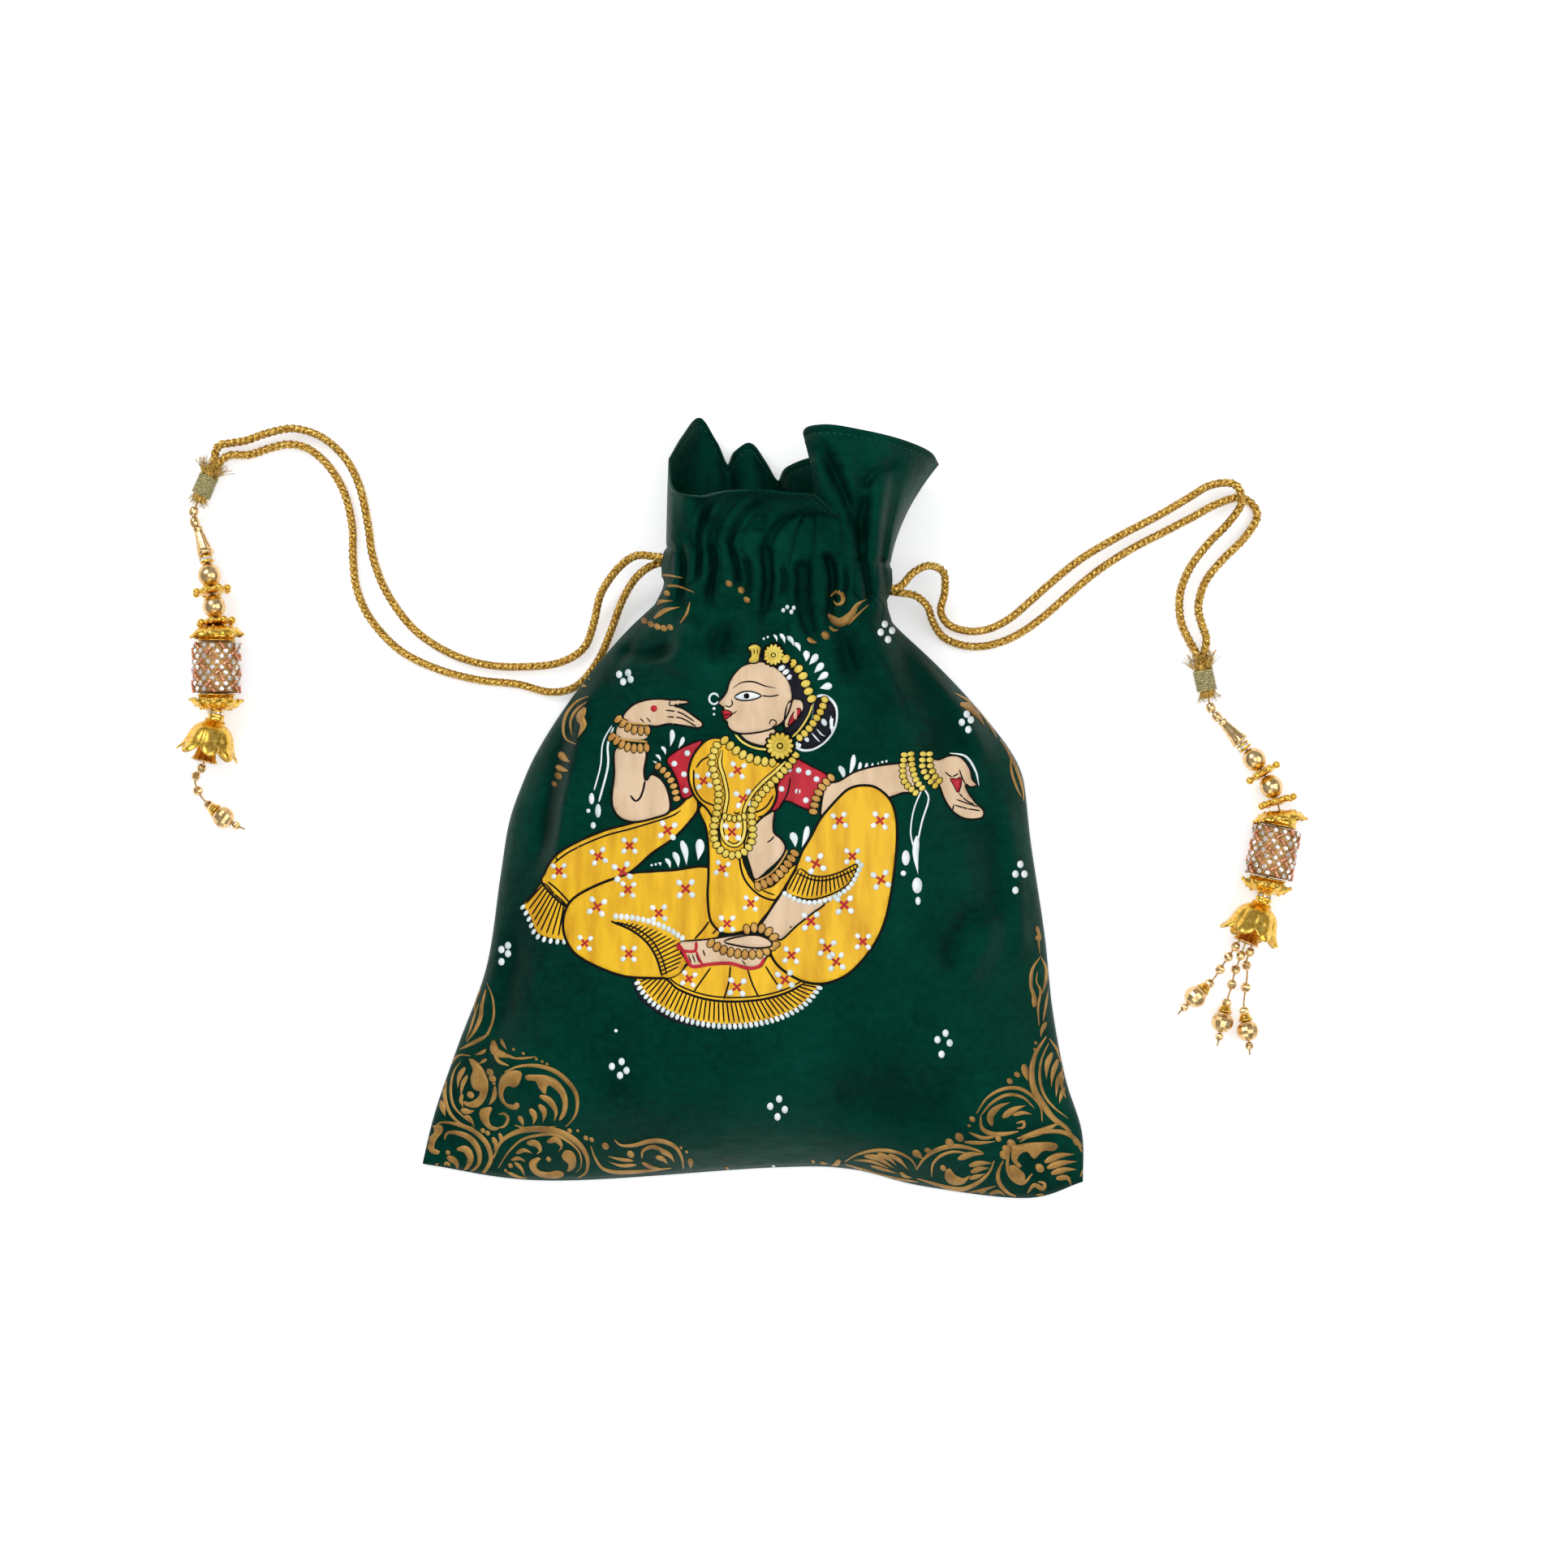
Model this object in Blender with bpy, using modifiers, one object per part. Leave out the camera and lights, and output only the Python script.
"""Potli bag: a gathered drawstring pouch of two sewn cloth panels, lying on its back.

Metres, +Z up. The bag's length runs along Y, its width along X, and the frill is at +Y.
Sizes are named in millimetres. Places in plan are shares of the bag's width and length.
"""

import math

import bmesh
import bpy
import numpy as np
from mathutils import Vector

MM = 0.001

# The whole bag, without its cords
BAG_WIDTH = 203.0
BAG_LENGTH = 237.7

# Cloth
CLOTH = 1.2
SEAM_GAP = 0.3
SEAM_LIFT = 1.35
BELLY_HEIGHT = 27.0
BELLY_RISE = 20.0
SHOULDER_RISE = 3.6
FRONT_COLUMNS = 32
BACK_COLUMNS = 15

# Drawstrings and the strip that closes their channel inside
CORD = 3.5
CORD_CLEARANCE = 0.5
LANE_GAP = 0.6
STRIP = 0.8
STRIP_COLUMNS = 10

# Neck: a flattened ring round which the drawstrings run
NECK_PLACE = (0.0369, 0.3037)
NECK_HEIGHT = 17.9
NECK_TILT = -0.078
NECK_END_RADIUS = 10.8
NECK_FLAT = 44.4
CHANNEL_SLOPE = 1.1
STITCH_BAND = 1.7
NECK_FOOT_DROP = 1.8
FRONT_PLEATS = 8
BACK_PLEATS = 5
PLEAT_DEPTH = 2.3
PLEAT_FADE = 26.0
SIDE_SLIT = 1.2
CORD_SLIT = 1.1

# Threads and beads
THREAD = 0.8
BORE_CLEARANCE = 0.5
RIM = 0.25
SEAT = 0.3
SEED = 3.0
SEED_LENGTH = 2.8
BALL = 7.0
STAR = 12.6
STAR_LENGTH = 2.2
FLOWER = 16.4
FLOWER_LENGTH = 3.4
CAP_WALL = 0.9
CAP_TURN = 0.11
BARREL = 14.6
BARREL_LENGTH = 15.4
BARREL_BEVEL = 0.9
COLLAR = 11.6
COLLAR_LENGTH = 3.0
LOTUS = 18.8
LOTUS_LENGTH = 12.8
LOTUS_WALL = 0.8
BELL = 8.4
BELL_LENGTH = 6.8
BELL_WALL = 0.6
BELL_START = 6.3
CONE_TOP = 3.2
CONE_FOOT = 5.2
CONE_LENGTH = 9.0
RING = 4.6
RING_LENGTH = 2.3
WRAP = 6.6
WRAP_LENGTH = 4.4
BINDING = 13.6
LOBES = 8
DROP_CAP = 4.6
DROP_CAP_LENGTH = 2.0
DROP_BALL = 6.8
DROP_TIP = 2.6
DROP_BEADS = 4
DROP_BEAD_LENGTH = 2.8
DROP_BEAD_SWELL = 3.7
DROP_TIP_ROOM = 1.2
DROP_FLAT = 0.5
TIP_FLAT = 0.4

# Side seams from the bottom corner to the neck (x, y, z)
LEFT_SEAM = [
    (-0.5000, -0.4544, 1.35), (-0.4798, -0.3849, 1.35), (-0.4453, -0.2987, 1.35),
    (-0.4020, -0.1969, 1.35), (-0.3813, -0.0833, 1.35), (-0.3665, -0.0084, 1.35),
    (-0.3394, 0.0547, 1.6), (-0.3158, 0.1060, 3.6), (-0.2862, 0.1662, 7.2), (-0.2635, 0.2053, 10.0),
    (-0.2291, 0.2377, 13.0), (-0.1872, 0.2629, 16.0),
]
RIGHT_SEAM = [
    (0.5000, -0.4775, 1.35), (0.4975, -0.4123, 1.35), (0.4729, -0.3408, 1.35), (0.4532, -0.2524, 1.35),
    (0.4409, -0.1557, 1.35), (0.4207, -0.0421, 1.35), (0.4069, 0.0505, 1.6), (0.3818, 0.1010, 3.2),
    (0.3419, 0.1578, 7.0), (0.3030, 0.1956, 10.0), (0.2685, 0.2188, 13.0), (0.2291, 0.2377, 16.0),
]
BOTTOM_EDGE = [
    (-0.5000, -0.4544), (-0.3054, -0.4754), (0.0246, -0.4586), (0.1478, -0.4602), (0.2562, -0.4821),
    (0.4138, -0.4981), (0.5000, -0.4775),
]
BODY_ROWS = [0.0, 0.04, 0.13, 0.3, 0.52, 0.73, 0.9]
NECK_BLEND = 0.66
NECK_REACH = 110.0
FRILL_ROWS = [0.25, 0.5, 0.78, 1.0]

# Frill hem, from the left seam over the front to the right seam, and back underneath
FRONT_HEM = [
    (-0.1222, 0.4480, 24.5), (-0.1143, 0.4056, 34.0), (-0.0754, 0.3934, 40.0), (-0.0300, 0.3988, 44.0),
    (0.0167, 0.4001, 46.0), (0.0581, 0.3963, 45.0), (0.0936, 0.3934, 42.0), (0.1256, 0.3715, 36.0),
    (0.1453, 0.3626, 29.5), (0.1330, 0.3925, 23.5), (0.1005, 0.4434, 24.0), (0.0764, 0.4800, 28.0),
    (0.1049, 0.4872, 34.0), (0.1591, 0.4813, 33.0), (0.2197, 0.4712, 28.0), (0.2635, 0.4594, 20.0),
    (0.2788, 0.4464, 12.0),
]
BACK_HEM = [
    (0.2788, 0.4464, 12.0), (0.2606, 0.4388, 6.0), (0.1877, 0.4577, 2.8), (0.1015, 0.4602, 3.2),
    (0.0522, 0.4443, 9.0), (0.0379, 0.4241, 14.0), (0.0182, 0.4518, 9.0), (-0.0030, 0.4771, 3.8),
    (-0.0271, 0.4657, 5.0), (-0.0379, 0.4464, 11.0), (-0.0552, 0.4792, 6.0), (-0.0798, 0.5082, 7.0),
    (-0.1030, 0.4825, 14.0), (-0.1222, 0.4480, 24.5),
]
FRILL_RISE = 15.0

# Soft folds of the front panel: (start, end, half width, height), in plan
FOLDS = [
    ((-0.2857, 0.1599), (-0.3251, -0.1262), 7.0, 3.2),
    ((-0.2365, 0.1851), (-0.2709, -0.0421), 6.0, -2.6),
    ((-0.1084, 0.2188), (-0.1478, 0.0210), 6.0, 2.0),
    ((-0.0296, 0.2314), (-0.0493, 0.0000), 6.0, -2.2),
    ((0.0591, 0.2314), (0.0690, 0.0421), 5.5, 2.2),
    ((0.1379, 0.2103), (0.1970, 0.0210), 6.0, -2.2),
    ((0.2167, 0.1893), (0.3350, 0.0168), 7.0, 2.8),
    ((0.2857, 0.0841), (0.3251, -0.1683), 7.0, -2.0),
    ((0.1970, -0.2103), (0.3842, -0.1262), 8.0, 1.6),
    ((-0.2956, -0.2945), (-0.0985, -0.3997), 9.0, 1.4),
    ((0.0985, -0.3870), (0.2956, -0.4207), 8.0, -1.6),
]

# Visible strands of the drawstrings, from the neck to the binding
LEFT_UPPER = [
    (-0.1453, 0.3256, 19.9), (-0.1734, 0.3273, 17.6), (-0.2020, 0.3122, 12.0), (-0.2286, 0.2814, 6.2),
    (-0.2404, 0.2444, 2.8), (-0.2562, 0.2120, 1.8), (-0.2931, 0.1935, 1.8), (-0.3448, 0.1885, 1.8),
    (-0.4025, 0.1910, 1.8), (-0.4581, 0.2057, 1.8), (-0.5123, 0.2364, 1.8), (-0.5532, 0.2827, 1.8),
    (-0.5749, 0.3290, 1.8), (-0.5823, 0.3711, 2.0), (-0.5941, 0.4194, 2.8), (-0.6148, 0.4560, 3.6),
    (-0.6498, 0.4838, 4.0), (-0.6926, 0.4956, 4.0), (-0.7330, 0.4897, 4.0), (-0.7645, 0.4804, 3.8),
    (-0.7901, 0.4767, 3.6), (-0.8099, 0.4708, 3.6), (-0.8182, 0.4565, 3.6),
]
LEFT_LOWER = [
    (-0.1453, 0.3172, 15.2), (-0.1655, 0.3080, 12.4), (-0.1823, 0.2936, 8.4), (-0.1990, 0.2688, 4.4),
    (-0.2138, 0.2360, 2.2), (-0.2335, 0.1973, 1.8), (-0.2660, 0.1637, 1.8), (-0.3069, 0.1557, 1.8),
    (-0.3557, 0.1658, 1.8), (-0.4148, 0.1712, 1.8), (-0.4764, 0.1851, 1.8), (-0.5340, 0.2095, 1.8),
    (-0.5773, 0.2482, 1.8), (-0.5990, 0.2869, 1.8), (-0.6054, 0.3277, 1.8), (-0.6064, 0.3685, 1.8),
    (-0.6177, 0.4114, 1.8), (-0.6404, 0.4459, 1.8), (-0.6709, 0.4695, 1.8), (-0.7015, 0.4762, 1.8),
    (-0.7310, 0.4712, 1.8), (-0.7596, 0.4628, 2.2), (-0.7813, 0.4619, 3.0), (-0.7956, 0.4594, 3.6),
    (-0.8025, 0.4497, 3.6),
]
RIGHT_UPPER = [
    (0.2192, 0.2869, 19.9), (0.2394, 0.3054, 18.6), (0.2640, 0.3155, 15.0), (0.2872, 0.3080, 10.0),
    (0.2897, 0.2836, 6.6), (0.2837, 0.2592, 5.8), (0.2975, 0.2415, 4.6), (0.3271, 0.2343, 2.8),
    (0.3576, 0.2373, 1.9), (0.3892, 0.2507, 1.8), (0.4197, 0.2726, 1.8), (0.4507, 0.2962, 1.8),
    (0.4975, 0.3281, 1.8), (0.5547, 0.3572, 1.8), (0.6138, 0.3837, 1.8), (0.6576, 0.4056, 2.6),
    (0.6921, 0.4224, 4.4), (0.7271, 0.4232, 5.6), (0.7384, 0.4005, 5.6), (0.7192, 0.3740, 4.6),
    (0.6897, 0.3475, 2.4), (0.6621, 0.3159, 1.8), (0.6473, 0.2823, 1.8), (0.6483, 0.2482, 1.9),
    (0.6611, 0.2213, 2.6), (0.6704, 0.2011, 3.6),
]
RIGHT_LOWER = [
    (0.2192, 0.2810, 15.2), (0.2443, 0.2777, 12.6), (0.2631, 0.2650, 8.6), (0.2719, 0.2465, 4.6),
    (0.2887, 0.2268, 2.0), (0.3202, 0.2158, 1.8), (0.3557, 0.2158, 1.8), (0.3951, 0.2272, 1.8),
    (0.4355, 0.2499, 1.8), (0.4788, 0.2819, 1.8), (0.5232, 0.3130, 1.8), (0.5734, 0.3408, 1.8),
    (0.6236, 0.3631, 1.8), (0.6680, 0.3828, 1.8), (0.7005, 0.3980, 1.8), (0.7409, 0.4072, 1.8),
    (0.7645, 0.3854, 1.8), (0.7448, 0.3551, 1.8), (0.7123, 0.3273, 1.8), (0.6857, 0.2987, 1.8),
    (0.6749, 0.2663, 1.8), (0.6808, 0.2415, 1.9), (0.6867, 0.2213, 2.6), (0.6882, 0.2024, 3.6),
]

# Axes of the two tassels, from the binding to the mouth of the bell
LEFT_AXIS = [
    (-0.8128, 0.4476, 3.6), (-0.8271, 0.4236, 3.6), (-0.8414, 0.3997, 3.7), (-0.8448, 0.3803, 4.0),
    (-0.8365, 0.3610, 4.5), (-0.8266, 0.3366, 5.4), (-0.8197, 0.3088, 6.4), (-0.8138, 0.2819, 7.2),
    (-0.8089, 0.2549, 8.0), (-0.8054, 0.2297, 8.6), (-0.8044, 0.1960, 8.6), (-0.8054, 0.1624, 8.7),
    (-0.8069, 0.1287, 8.8), (-0.8118, 0.1035, 9.2), (-0.8207, 0.0782, 9.7), (-0.8325, 0.0530, 9.9),
    (-0.8463, 0.0278, 9.9),
]
RIGHT_AXIS = [
    (0.6793, 0.1994, 3.6), (0.6833, 0.1733, 3.6), (0.6872, 0.1472, 3.7), (0.6975, 0.1279, 4.0),
    (0.7163, 0.1111, 4.5), (0.7369, 0.0900, 5.4), (0.7567, 0.0682, 6.4), (0.7734, 0.0454, 7.2),
    (0.7872, 0.0210, 8.0), (0.7951, -0.0050, 8.6), (0.7911, -0.0345, 8.6), (0.7823, -0.0665, 8.7),
    (0.7719, -0.0984, 8.8), (0.7626, -0.1237, 9.2), (0.7507, -0.1472, 9.7), (0.7360, -0.1716, 9.9),
    (0.7192, -0.1960, 9.9),
]

# Bead drops below the bells: (how far down the first small bead sits, route)
LEFT_DROPS = [
    (7.4, [
        (-0.8414, 0.0463, 4.4), (-0.8433, 0.0353, 2.2), (-0.8365, 0.0219, 1.8), (-0.8207, 0.0076, 2.4),
        (-0.7921, -0.0114, 3.7), (-0.7685, -0.0215, 3.2),
    ]),
]
RIGHT_DROPS = [
    (7.4, [
        (0.7172, -0.1876, 4.8), (0.7084, -0.2019, 2.2), (0.6966, -0.2171, 1.8), (0.6818, -0.2289, 2.4),
        (0.6626, -0.2432, 3.7), (0.6433, -0.2600, 3.2),
    ]),
    (9.1, [
        (0.7310, -0.1944, 7.4), (0.7281, -0.2087, 3.6), (0.7251, -0.2247, 2.0), (0.7192, -0.2415, 1.8),
        (0.7143, -0.2583, 2.4), (0.7079, -0.2789, 3.7), (0.7030, -0.3012, 3.2),
    ]),
    (7.4, [
        (0.7458, -0.1910, 4.8), (0.7488, -0.2087, 2.2), (0.7468, -0.2272, 1.8), (0.7438, -0.2474, 1.8),
        (0.7458, -0.2676, 2.4), (0.7498, -0.2894, 3.7), (0.7517, -0.3130, 3.2),
    ]),
]

CORD_RADIUS = CORD / 2
BORE = THREAD / 2 + BORE_CLEARANCE
LANE = (CORD + LANE_GAP) / 2
CHANNEL_HALF = LANE + CORD_RADIUS + LANE_GAP
STITCH_IN = CHANNEL_HALF + CHANNEL_SLOPE
STITCH_OUT = STITCH_IN + STITCH_BAND
NECK_FOOT = -STITCH_OUT - NECK_FOOT_DROP
NECK_ROWS = [-STITCH_OUT, -STITCH_IN, -CHANNEL_HALF, CHANNEL_HALF, STITCH_IN, STITCH_OUT]
CHANNEL_OUT = CORD_RADIUS + CORD_CLEARANCE + CLOTH / 2
CHANNEL_IN = CORD_RADIUS + CORD_CLEARANCE + STRIP / 2
PINCH = (CLOTH + SEAM_GAP) / 2


def clear_scene():
    for obj in list(bpy.data.objects):
        bpy.data.objects.remove(obj, do_unlink=True)


def make_material(name, colour, roughness, metallic=0.0):
    material = bpy.data.materials.new(name)
    material.use_nodes = True
    shader = material.node_tree.nodes["Principled BSDF"]
    shader.inputs["Base Color"].default_value = (*colour, 1.0)
    shader.inputs["Roughness"].default_value = roughness
    shader.inputs["Metallic"].default_value = metallic
    return material


def smooth_step(value):
    value = np.clip(value, 0.0, 1.0)
    return value * value * (3.0 - 2.0 * value)


def in_plan(points):
    """Points in millimetres, from shares of the bag's width and length, and a height where there is one."""
    points = np.array(points, float)
    return points * np.array([BAG_WIDTH, BAG_LENGTH, 1.0])[:points.shape[-1]]


def through(points, fine=14):
    """A smooth curve that passes through each point."""
    padded = np.vstack([2 * points[0] - points[1], points, 2 * points[-1] - points[-2]])
    t = np.linspace(0.0, 1.0, fine, endpoint=False)[:, None]
    spans = []
    for a, b, c, d in zip(padded, padded[1:], padded[2:], padded[3:]):
        spans.append(0.5 * (2 * b + (c - a) * t + (2 * a - 5 * b + 4 * c - d) * t ** 2
                            + (3 * b - a - 3 * c + d) * t ** 3))
    return np.vstack(spans + [points[-1:]])


def lengths_along(curve):
    steps = np.linalg.norm(np.diff(curve, axis=0), axis=1)
    return np.concatenate([[0.0], np.cumsum(steps)])


def at_length(curve, where):
    """The points of the curve at these lengths along it."""
    reach = lengths_along(curve)
    return np.stack([np.interp(where, reach, curve[:, axis]) for axis in range(curve.shape[1])], axis=-1)


def spaced(curve, spacing):
    """The curve again, with even steps of about this length."""
    total = lengths_along(curve)[-1]
    return at_length(curve, np.linspace(0.0, total, max(2, round(total / spacing) + 1)))


def share_along(curve, share):
    return at_length(curve, share * lengths_along(curve)[-1])


def fold_height(x, y):
    """Height that the soft folds add to the front panel at a place in plan."""
    height = np.zeros_like(x)
    for start, end, half_width, rise in FOLDS:
        start, end = in_plan([start, end])
        run = end - start
        length = np.hypot(*run)
        along = ((x - start[0]) * run[0] + (y - start[1]) * run[1]) / length ** 2
        across = ((x - start[0]) * run[1] - (y - start[1]) * run[0]) / length
        ends = smooth_step(along * 3.0 + 0.6) * smooth_step((1.0 - along) * 3.0 + 0.6)
        height += rise * ends * np.exp(-(across / half_width) ** 2)
    return height


def neck_ring(share, out, along, front, opening):
    """Points of the ring round the neck.

    share runs from one side to the other, out is the distance outside the drawstring's line,
    along is the place along the neck, and opening is the half height left free at each side.
    """
    radius = NECK_END_RADIUS + out
    start = radius * math.asin(min(0.95, opening / NECK_END_RADIUS))
    total = math.pi * radius + NECK_FLAT
    reach = start + share * (total - 2 * start)
    quarter = math.pi * radius / 2
    left = reach < quarter
    right = reach > quarter + NECK_FLAT
    angle = np.where(left, reach / radius, np.where(right, (total - reach) / radius, math.pi / 2))
    flat = np.clip(reach - quarter, 0.0, NECK_FLAT) - NECK_FLAT / 2
    side = np.where(left, -1.0, np.where(right, 1.0, 0.0))
    across = flat + side * radius * np.cos(angle)
    rise = radius * np.sin(angle) * (1.0 if front else -1.0)
    return neck_place(across, along, rise)


def neck_place(across, along, rise):
    """Points given across and along the neck, which lies a little turned in plan."""
    centre_x, centre_y = in_plan(NECK_PLACE)
    x = centre_x + across - NECK_TILT * along
    y = centre_y + along + NECK_TILT * across
    return np.stack(np.broadcast_arrays(x, y, NECK_HEIGHT + rise), axis=-1)


def pleats(share, count):
    """Rounded crests with narrow valleys, from 0 to 1, and 0 at each side seam."""
    return np.abs(np.sin(math.pi * count * share)) ** 0.8


def panel_out(along):
    """How far outside the drawstring's line the panel's middle surface runs, at a place along the neck."""
    return float(np.interp(
        along,
        [NECK_FOOT] + NECK_ROWS,
        [PINCH + PINCH * 0.73, PINCH, PINCH, CHANNEL_OUT, CHANNEL_OUT, PINCH, PINCH],
    ))


def side_opening(along):
    """Half the height left between the panels at a side seam, wide at the drawstring's opening."""
    return float(np.interp(abs(along), [CHANNEL_HALF, STITCH_OUT], [CORD + CORD_SLIT, SIDE_SLIT]))


def body_row(level, share, front):
    """A row across the pouch, level 0 at the bottom edge and 1 just under the neck."""
    left = share_along(through(in_plan(LEFT_SEAM)), level)
    right = share_along(through(in_plan(RIGHT_SEAM)), level)
    edge = through(in_plan(BOTTOM_EDGE))
    line = left[None, :] * (1 - share[:, None]) + right[None, :] * share[:, None]
    x = line[:, 0]
    corner = edge[0, 1] * (1 - share) + edge[-1, 1] * share
    fade = (1.0 - level) ** 4
    y = line[:, 1] + (np.interp(x, edge[:, 0], edge[:, 1]) - corner) * fade
    half = PINCH + CLOTH * 0.3 * smooth_step((level - 0.5) * 3.0)
    if front:
        rise = BELLY_HEIGHT * (1.0 - math.exp(-level * BAG_LENGTH * 0.88 / BELLY_RISE))
        rise += SHOULDER_RISE * smooth_step((level - 0.6) * 2.5)
        crown = np.sin(math.pi * share) ** 0.72
        z = half + line[:, 2] + (SEAM_LIFT + rise - line[:, 2]) * crown
        z += fold_height(x, y) * np.minimum(1.0, crown * rise * 2.0 / BELLY_HEIGHT)
    else:
        crown = 1.0 - np.abs(2 * share - 1) ** 3.4
        z = -half + line[:, 2] * (1 - crown) + (half + CLOTH / 2) * crown
    return np.stack([x, y, z], axis=-1)


def body_rows(share, ripple, front):
    """The pouch from the bottom edge to just under the neck, where the pleats begin to show."""
    foot_out = panel_out(NECK_FOOT)
    rows = []
    for level in BODY_ROWS:
        blend = float(smooth_step((level - NECK_BLEND) / (1.0 - NECK_BLEND)))
        drop = (1.0 - level) * NECK_REACH
        along = NECK_FOOT - drop * 0.35
        neck = neck_ring(share, foot_out, along, front, side_opening(NECK_FOOT))
        row = body_row(level, share, front) * (1 - blend) + neck * blend
        if front:
            fringe = PLEAT_DEPTH * math.exp(-drop / PLEAT_FADE)
            row[:, 2] += fringe * (ripple - 0.4) * np.sin(math.pi * share) ** 0.5
        rows.append(row)
    return rows


def neck_rows(share, ripple, front):
    """The gathered casing, which swells over the drawstrings between its two lines of stitches."""
    depth = PLEAT_DEPTH if front else PLEAT_DEPTH / 2
    rows = []
    for along in NECK_ROWS:
        out = panel_out(along)
        valley = neck_ring(share, out, along, front, side_opening(along))
        crest = neck_ring(share, out + depth, along, front, side_opening(along))
        rows.append(valley + (crest - valley) * ripple[:, None])
    return rows


def frill_rows(share, base, front):
    """The frill, which rises from the casing and opens out to its ruffled hem."""
    hem = share_along(through(in_plan(FRONT_HEM if front else BACK_HEM[::-1])), share)
    side = np.clip(np.abs(2 * share - 1) * 9.0 - 8.0, 0.0, 1.0)
    hem[:, 2] += (PINCH if front else -PINCH) * 1.3 * side
    rows = []
    for step in FRILL_ROWS:
        lift = base + np.array([0.0, FRILL_RISE, 0.0]) + 0.2 * (hem - base) * np.array([1.0, 0.0, 1.0])
        rows.append((1 - step) ** 2 * base + 2 * step * (1 - step) * lift + step ** 2 * hem)
    return rows


def panel_grid(columns, front):
    """The middle surface of one panel, from the bottom edge through the neck to the frill's hem."""
    share = np.linspace(0.0, 1.0, columns + 1)
    ripple = pleats(share, FRONT_PLEATS if front else BACK_PLEATS)
    neck = neck_rows(share, ripple, front)
    return np.stack(body_rows(share, ripple, front) + neck + frill_rows(share, neck[-1], front))


def sheet_object(name, grid, thickness, material, flip):
    """An open sheet of quads on the grid, thickened evenly about its middle."""
    mesh = bpy.data.meshes.new(name)
    sheet = bmesh.new()
    corners = [[sheet.verts.new(point * MM) for point in row] for row in grid]
    for low, high in zip(corners, corners[1:]):
        for a, b, c, d in zip(low, low[1:], high[1:], high):
            sheet.faces.new((d, c, b, a) if flip else (a, b, c, d))
    sheet.to_mesh(mesh)
    sheet.free()
    mesh.shade_smooth()
    mesh.materials.append(material)
    obj = bpy.data.objects.new(name, mesh)
    PARTS.objects.link(obj)
    solid = obj.modifiers.new("thickness", "SOLIDIFY")
    solid.thickness = thickness * MM
    solid.offset = 0.0
    return obj


def casing_strip(name, front, material):
    """The narrow strip sewn inside a panel, which closes the channel for the drawstrings."""
    share = np.linspace(0.0, 1.0, STRIP_COLUMNS + 1)
    pinched = PINCH - (CLOTH + STRIP) / 2 - SEAM_GAP
    rows = []
    for along in NECK_ROWS:
        out = -CHANNEL_IN if abs(along) <= CHANNEL_HALF else pinched
        rows.append(neck_ring(share, out, along, front, side_opening(0.0)))
    return sheet_object(name, np.stack(rows), STRIP, material, not front)


def tube_object(name, points, diameter, material, radii=None):
    """A round tube along the points, with closed ends."""
    data = bpy.data.curves.new(name, "CURVE")
    data.dimensions = "3D"
    data.bevel_depth = diameter / 2 * MM
    data.bevel_resolution = 2
    data.use_fill_caps = True
    line = data.splines.new("POLY")
    line.points.add(len(points) - 1)
    for index, (point, place) in enumerate(zip(line.points, points)):
        point.co = (*(np.array(place) * MM), 1.0)
        point.radius = 1.0 if radii is None else radii[index]
    data.materials.append(material)
    obj = bpy.data.objects.new(name, data)
    PARTS.objects.link(obj)
    return obj


def straightened(curve, start, end):
    """The curve with its stretch between two lengths pulled straight."""
    reach = lengths_along(curve)
    head, foot = at_length(curve, np.array([start, end]))
    return np.vstack([curve[reach < start], head, foot, curve[reach > end]])


def place_on(obj, curve, start, length):
    """Sets a bead's middle on the curve, with its own +Z pointing back up the curve."""
    head, middle, foot = at_length(curve, np.array([start, start + length / 2, start + length]))
    obj.location = Vector(middle * MM)
    obj.rotation_mode = "QUATERNION"
    obj.rotation_quaternion = Vector((0.0, 0.0, 1.0)).rotation_difference(Vector(head - foot).normalized())
    return obj


def turned(name, profile, steps, material):
    """A bored bead: a closed profile of (radius, height), down its outer side first, turned about Z."""
    mesh = bpy.data.meshes.new(name)
    count = len(profile)
    points = [(radius * MM, 0.0, height * MM) for radius, height in profile]
    mesh.from_pydata(points, [(index, (index + 1) % count) for index in range(count)], [])
    mesh.materials.append(material)
    obj = bpy.data.objects.new(name, mesh)
    PARTS.objects.link(obj)
    screw = obj.modifiers.new("turn", "SCREW")
    screw.steps = steps
    screw.render_steps = steps
    screw.use_merge_vertices = True
    screw.merge_threshold = 0.00001
    screw.use_smooth_shade = True
    return obj


def lobed(name, profile, material, turn=0.0):
    """A bored bead whose radius swells in lobes: a closed profile of (radius, height, swell, droop).

    turn is how far the lobes are turned about the thread.
    """
    steps = 2 * LOBES
    mesh = bpy.data.meshes.new(name)
    bead = bmesh.new()
    rings = []
    for step in range(steps):
        angle = 2 * math.pi * step / steps
        wave = math.cos(LOBES * angle)
        ring = []
        for radius, height, swell, droop in profile:
            reach = (radius + swell * wave) * MM
            ring.append(bead.verts.new((reach * math.cos(angle + turn), reach * math.sin(angle + turn),
                                        (height - droop * wave) * MM)))
        rings.append(ring)
    for ring, after in zip(rings, rings[1:] + rings[:1]):
        for index in range(len(profile)):
            behind = index - 1
            bead.faces.new((ring[behind], ring[index], after[index], after[behind]))
    bmesh.ops.recalc_face_normals(bead, faces=bead.faces)
    bead.to_mesh(mesh)
    bead.free()
    mesh.shade_smooth()
    mesh.materials.append(material)
    obj = bpy.data.objects.new(name, mesh)
    PARTS.objects.link(obj)
    return obj


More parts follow.
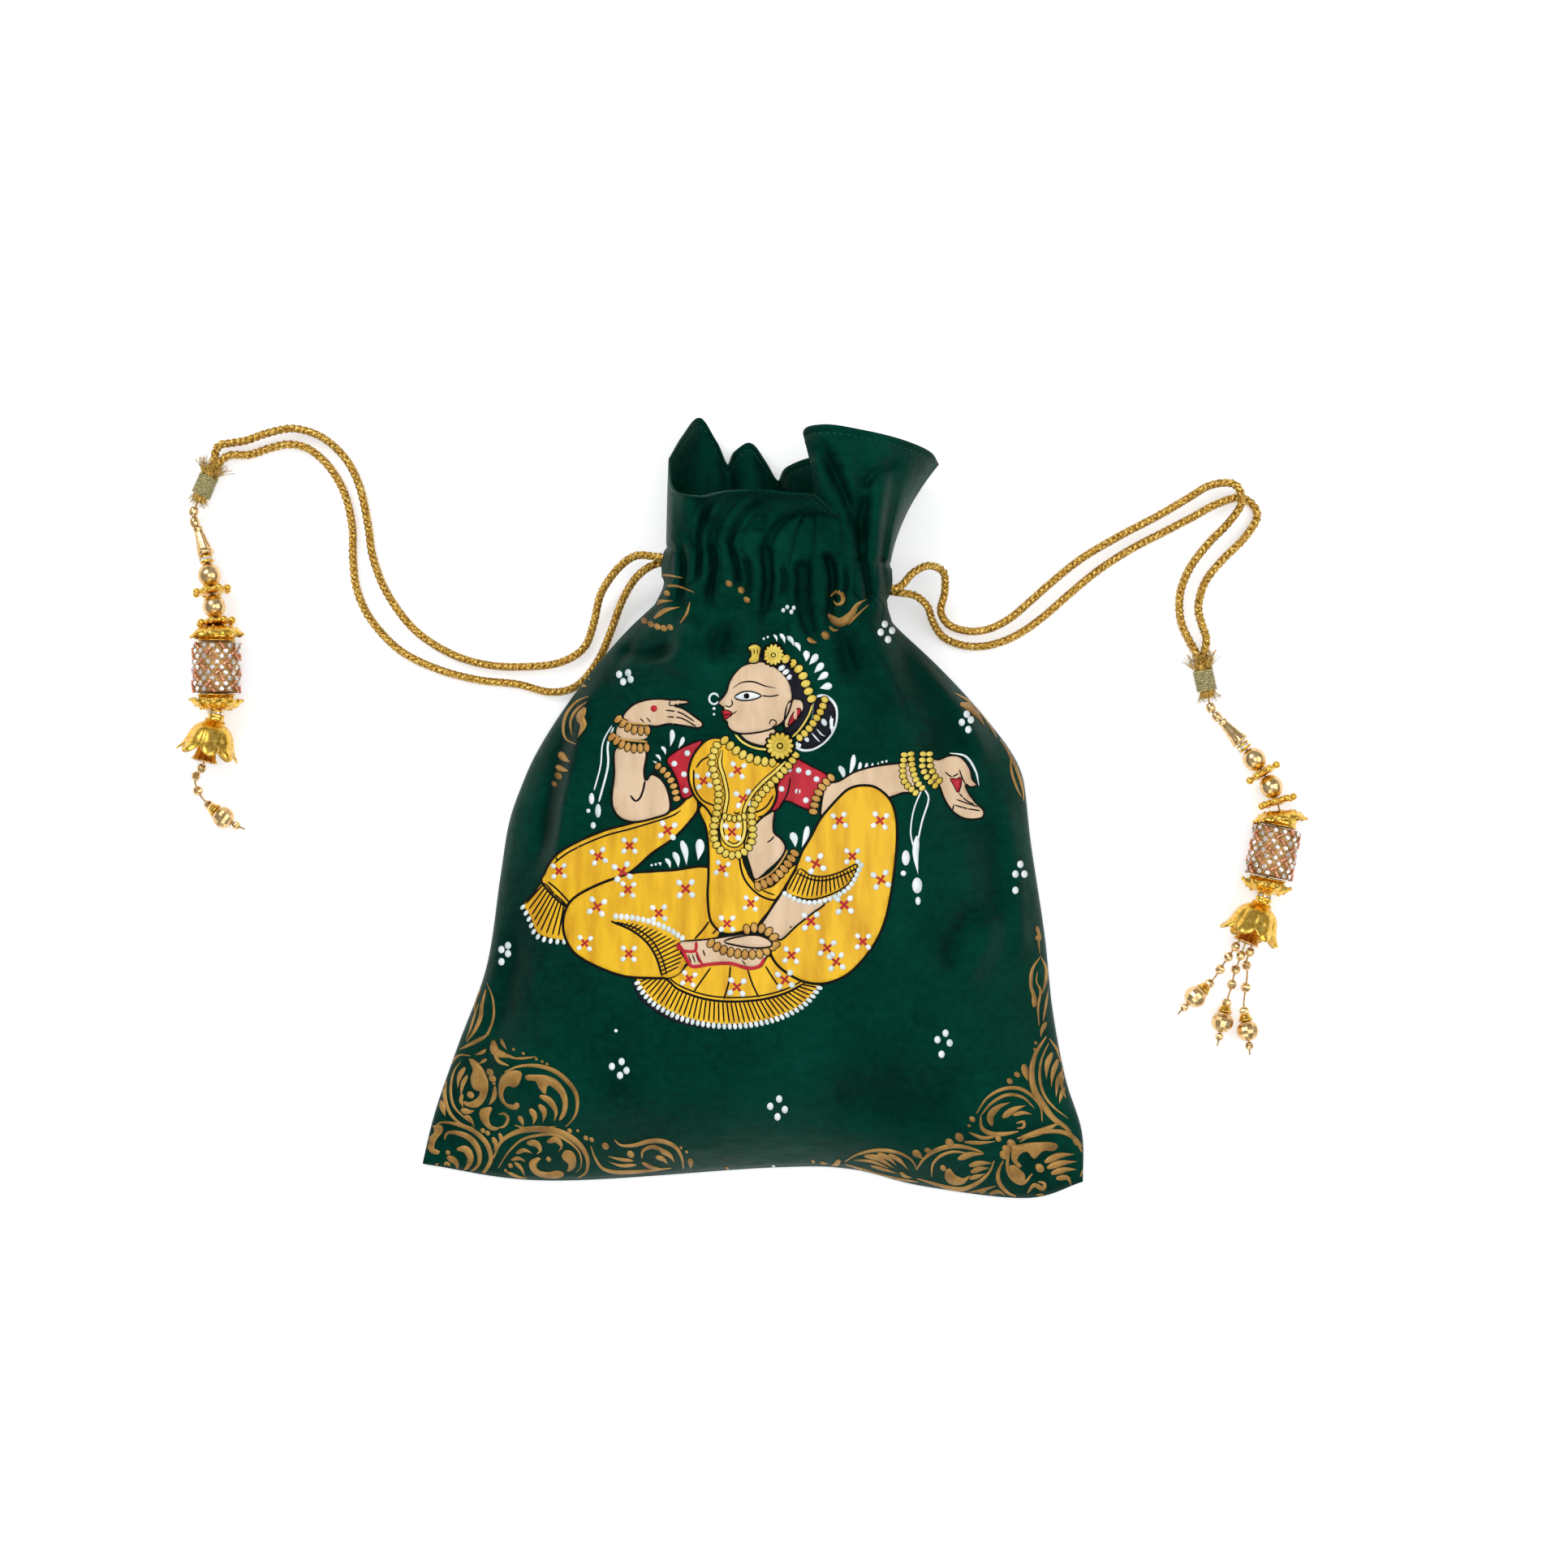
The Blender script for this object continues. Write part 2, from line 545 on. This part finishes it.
def round_profile(diameter, length, points):
    """The profile of a bored round bead."""
    radius = diameter / 2
    top = length / 2
    flat = math.asin((BORE + RIM) / radius)
    outer = []
    for index in range(points):
        angle = flat + (math.pi - 2 * flat) * index / (points - 1)
        outer.append((radius * math.sin(angle), top * math.cos(angle) / math.cos(flat)))
    return outer + [(BORE, -top), (BORE, top)]


def straight_profile(diameter, length, bevel=0.0):
    radius = diameter / 2
    top = length / 2
    rim = [(radius, top), (radius, -top)]
    if bevel:
        rim = [(radius - bevel, top), (radius, top - bevel), (radius, bevel - top), (radius - bevel, -top)]
    return rim + [(BORE, -top), (BORE, top)]


def make_binding(name):
    """The thread wrap that holds both cord ends, with the cut fibres spreading at each side of it."""
    radius = WRAP / 2
    top = BINDING / 2
    wrap = WRAP_LENGTH / 2
    waist = wrap + 0.6
    profile = [(radius * 0.9, top), (radius * 0.82, waist), (radius, wrap), (radius, -wrap),
               (radius * 0.82, -waist), (radius * 1.02, -top), (BORE, -top), (BORE, top)]
    return turned(name, profile, 8, WRAP_THREAD)


def make_cone(name):
    """A hollow cone that opens downwards."""
    head = CONE_TOP / 2
    foot = CONE_FOOT / 2
    top = CONE_LENGTH / 2
    profile = [(head * 0.8, top), (head, top * 0.67), (foot * 0.82, -top * 0.53), (foot, -top),
               (foot - BELL_WALL, -top), (BORE + 0.1, top * 0.13), (BORE, top)]
    return turned(name, profile, 8, BEAD_GOLD)


def make_flower_cap(name, up):
    """A shallow pierced cup of petals, its hollow side towards the barrel."""
    radius = FLOWER / 2
    top = FLOWER_LENGTH / 2
    floor = top - CAP_WALL
    hollow = COLLAR / 2 + SEAT
    petal = 0.7
    flip = 1.0 if up else -1.0
    profile = [(hollow, top - 0.15, 0.1, 0.0), (radius - petal, 0.3 - top, petal, 0.3), (hollow, floor, 0.0, 0.0),
               (BORE, floor + 0.1, 0.0, 0.0), (BORE, top, 0.0, 0.0)]
    cup = [(r, h * flip, swell, droop * flip) for r, h, swell, droop in profile]
    return lobed(name, cup, CAP_GOLD, CAP_TURN * flip)


def make_star(name):
    """A flat spacer with rounded points."""
    top = STAR_LENGTH / 2
    rim = top * 0.32
    point = 1.2
    inner = STAR / 2 - point
    profile = [(inner, rim, point, 0.0), (inner, -rim, point, 0.0), (BORE, -top, 0.0, 0.0), (BORE, top, 0.0, 0.0)]
    return lobed(name, profile, CAP_GOLD)


def make_lotus(name):
    """The large bell cap: a narrow neck that opens into pointed petals."""
    top = LOTUS_LENGTH / 2
    petal = 0.5
    rim = LOTUS / 2 - petal
    shoulder = LOTUS * 0.33
    loose = BORE + 0.4
    droop = 1.2
    foot = droop - top
    profile = [(loose + 1.2, top, 0.0, 0.0), (loose + 1.3, top * 0.69, 0.0, 0.0), (shoulder, top * 0.31, 0.15, 0.0),
               (rim, foot, petal, droop), (rim - LOTUS_WALL, foot, petal, droop),
               (shoulder - LOTUS_WALL, top * 0.22, 0.15, 0.0), (loose, top * 0.5, 0.0, 0.0), (loose, top, 0.0, 0.0)]
    return lobed(name, profile, CAP_GOLD)


def make_bell(name):
    """The small open bell inside the lotus cap."""
    radius = BELL / 2
    top = BELL_LENGTH / 2
    waist = radius * 0.66
    loose = BORE + 0.3
    profile = [(radius * 0.5, top), (waist, 0.0), (radius, -top), (radius - BELL_WALL, -top),
               (waist - BELL_WALL, 0.0), (loose, top * 0.53), (loose, top)]
    return turned(name, profile, 8, BEAD_GOLD)


def make_seed(name):
    return turned(name, round_profile(SEED, SEED_LENGTH, 3), 6, BEAD_GOLD)


def make_ball(name):
    return turned(name, round_profile(BALL, BALL, 5), 8, BEAD_GOLD)


def make_ring(name):
    return turned(name, straight_profile(RING, RING_LENGTH), 8, BEAD_GOLD)


def make_collar(name):
    return turned(name, straight_profile(COLLAR, COLLAR_LENGTH), 10, CAP_GOLD)


def make_barrel(name):
    return turned(name, straight_profile(BARREL, BARREL_LENGTH, BARREL_BEVEL), 12, BARREL_GOLD)


def make_tassel(side, axis, drops, star_room):
    """The pieces threaded below a drawstring's binding, from top to bottom, and their bead drops.

    Each piece takes its length, a seat, and the extra room that it needs to tilt where the thread
    bends. A flower cap hangs over the collar beside it, so those two share some of the thread.
    """
    holder = bpy.data.objects.new(f"{side}_tassel", None)
    PARTS.objects.link(holder)
    nested = -(FLOWER_LENGTH - CAP_WALL)
    stack = [
        (make_binding(f"{side}_end_binding"), BINDING, 0.3),
        (make_seed(f"{side}_seed_bead_1"), SEED_LENGTH, 0.2),
        (make_seed(f"{side}_seed_bead_2"), SEED_LENGTH, 0.2),
        (make_cone(f"{side}_cone_bead"), CONE_LENGTH, 0.0),
        (make_ring(f"{side}_crystal_ring_upper"), RING_LENGTH, 0.1),
        (make_ball(f"{side}_ball_bead_upper"), BALL, 0.0),
        (make_star(f"{side}_star_spacer_upper"), STAR_LENGTH, 0.0),
        (make_ball(f"{side}_ball_bead_lower"), BALL, 0.0),
        (make_star(f"{side}_star_spacer_lower"), STAR_LENGTH, star_room),
        (make_flower_cap(f"{side}_flower_cap_upper", True), FLOWER_LENGTH, nested),
        (make_collar(f"{side}_barrel_collar_upper"), COLLAR_LENGTH, 0.0),
        (make_barrel(f"{side}_barrel_bead"), BARREL_LENGTH, 0.0),
        (make_collar(f"{side}_barrel_collar_lower"), COLLAR_LENGTH, nested),
        (make_flower_cap(f"{side}_flower_cap_lower", False), FLOWER_LENGTH, 0.2),
        (make_ring(f"{side}_crystal_ring_lower"), RING_LENGTH, 0.5),
        (make_lotus(f"{side}_lotus_cap"), LOTUS_LENGTH, 0.0),
    ]
    starts = {}
    reach = 0.0
    for obj, length, room in stack:
        starts[obj.name] = reach
        reach += length + SEAT + room
    barrel_head = starts[f"{side}_flower_cap_upper"]
    barrel_foot = starts[f"{side}_crystal_ring_lower"]
    curve = straightened(through(in_plan(axis)), barrel_head, barrel_foot)
    for obj, length, room in stack:
        place_on(obj, curve, starts[obj.name], length)
        obj.parent = holder
    bell_start = reach - BELL_START
    bell = place_on(make_bell(f"{side}_bell"), curve, bell_start, BELL_LENGTH)
    bell.parent = holder
    thread_end = bell_start + BELL_LENGTH * 0.26
    thread_points = at_length(curve, np.linspace(BINDING - 3.0, thread_end, 18))
    thread = tube_object(f"{side}_tassel_thread", thread_points, THREAD, THREAD_GOLD)
    thread.parent = holder
    head, mouth = at_length(curve, np.array([thread_end + SEAT, reach + 1.6]))
    across = np.cross(mouth - head, (0.0, 0.0, 1.0))
    across /= np.linalg.norm(across)
    for number, (first_bead, route) in enumerate(drops, start=1):
        place = number - (len(drops) + 1) / 2
        lead = [head - across * place * 0.95, mouth - across * place * 2.3]
        curve_down = through(np.vstack([lead, in_plan(route)]))
        make_drop(f"{side}_drop_{number}", curve_down, first_bead, holder)


def make_drop(name, curve, first_bead, holder):
    """A thread strung with small beads that ends in a cap, a ball and a tip bead."""
    total = lengths_along(curve)[-1]
    ball_start = total - DROP_TIP_ROOM - DROP_TIP - SEAT - DROP_BALL
    cap_start = ball_start - DROP_CAP_LENGTH + SEAT
    half = DROP_BEAD_LENGTH / 2
    gap = (cap_start - half - DROP_FLAT - first_bead) / (DROP_BEADS - 1)
    places = [0.0]
    radii = [1.0]
    for index in range(DROP_BEADS):
        centre = first_bead + gap * index
        places += [centre - half, centre, centre + half]
        radii += [1.0, DROP_BEAD_SWELL, 1.0]
    places += [ball_start + THREAD, ball_start + DROP_BALL - THREAD, total - 2 * DROP_TIP_ROOM]
    radii += [1.0, 1.0, 1.0]
    string = tube_object(f"{name}_string", at_length(curve, np.array(places)), THREAD, THREAD_GOLD, radii)
    radius = DROP_CAP / 2
    top = DROP_CAP_LENGTH / 2
    cap_profile = [(BORE + 0.35, top), (radius, -top), (radius - 0.4, -top), (BORE, top * 0.2), (BORE, top)]
    cap = place_on(turned(f"{name}_cap", cap_profile, 6, CAP_GOLD), curve, cap_start, DROP_CAP_LENGTH)
    ball_length = DROP_BALL - DROP_FLAT
    ball = turned(f"{name}_ball", round_profile(DROP_BALL, ball_length, 4), 8, BEAD_GOLD)
    place_on(ball, curve, ball_start + DROP_FLAT / 2, ball_length)
    tip_length = DROP_TIP - TIP_FLAT
    tip = turned(f"{name}_tip", round_profile(DROP_TIP, tip_length, 3), 6, BEAD_GOLD)
    place_on(tip, curve, ball_start + DROP_BALL + TIP_FLAT / 2, tip_length)
    for piece in (string, cap, ball, tip):
        piece.parent = holder


def make_drawstring(name, upper, lower, lane, from_left):
    """One cord: down from its binding, once round the neck inside both panels, and back."""
    near = -1.0 if from_left else 1.0
    far = -near
    entry = 0.42
    near_steps = 3
    far_steps = 9
    rise_step = (math.pi / 2 - entry) / near_steps
    far_step = math.pi / far_steps
    ring = [(near, entry + rise_step * index) for index in range(near_steps)]
    ring += [(near, math.pi / 2)]
    ring += [(far, math.pi / 2 - far_step * index) for index in range(far_steps + 1)]
    ring += [(near, -math.pi / 2 + rise_step * index) for index in range(near_steps + 1)]
    points = []
    for side, angle in ring:
        across = side * (NECK_FLAT / 2 + NECK_END_RADIUS * math.cos(angle))
        points.append(neck_place(across, lane, NECK_END_RADIUS * math.sin(angle)))
    start = spaced(through(in_plan(upper)), 3.0 * CORD)[::-1]
    end = spaced(through(in_plan(lower)), 3.0 * CORD)
    return tube_object(name, np.vstack([start, points, end]), CORD, CORD_GOLD)


clear_scene()
PARTS = bpy.data.collections.new("potli_bag")
bpy.context.scene.collection.children.link(PARTS)

GREEN_CLOTH = make_material("green_cloth", (0.006, 0.045, 0.032), 0.62)
CORD_GOLD = make_material("metallic_cord", (0.58, 0.35, 0.1), 0.42, 0.6)
THREAD_GOLD = make_material("bead_thread", (0.62, 0.45, 0.22), 0.6)
WRAP_THREAD = make_material("wrap_thread", (0.36, 0.34, 0.2), 0.75)
BEAD_GOLD = make_material("champagne_gold", (0.72, 0.5, 0.27), 0.28, 1.0)
CAP_GOLD = make_material("yellow_gold", (0.76, 0.5, 0.14), 0.3, 1.0)
BARREL_GOLD = make_material("barrel_gold", (0.42, 0.26, 0.12), 0.4, 0.8)

sheet_object("front_panel", panel_grid(FRONT_COLUMNS, True), CLOTH, GREEN_CLOTH, False)
sheet_object("back_panel", panel_grid(BACK_COLUMNS, False), CLOTH, GREEN_CLOTH, True)
casing_strip("casing_strip_front", True, GREEN_CLOTH)
casing_strip("casing_strip_back", False, GREEN_CLOTH)
make_drawstring("drawstring_left", LEFT_UPPER, LEFT_LOWER, LANE, True)
make_drawstring("drawstring_right", RIGHT_UPPER, RIGHT_LOWER, -LANE, False)
make_tassel("left", LEFT_AXIS, LEFT_DROPS, 0.4)
make_tassel("right", RIGHT_AXIS, RIGHT_DROPS, 2.2)
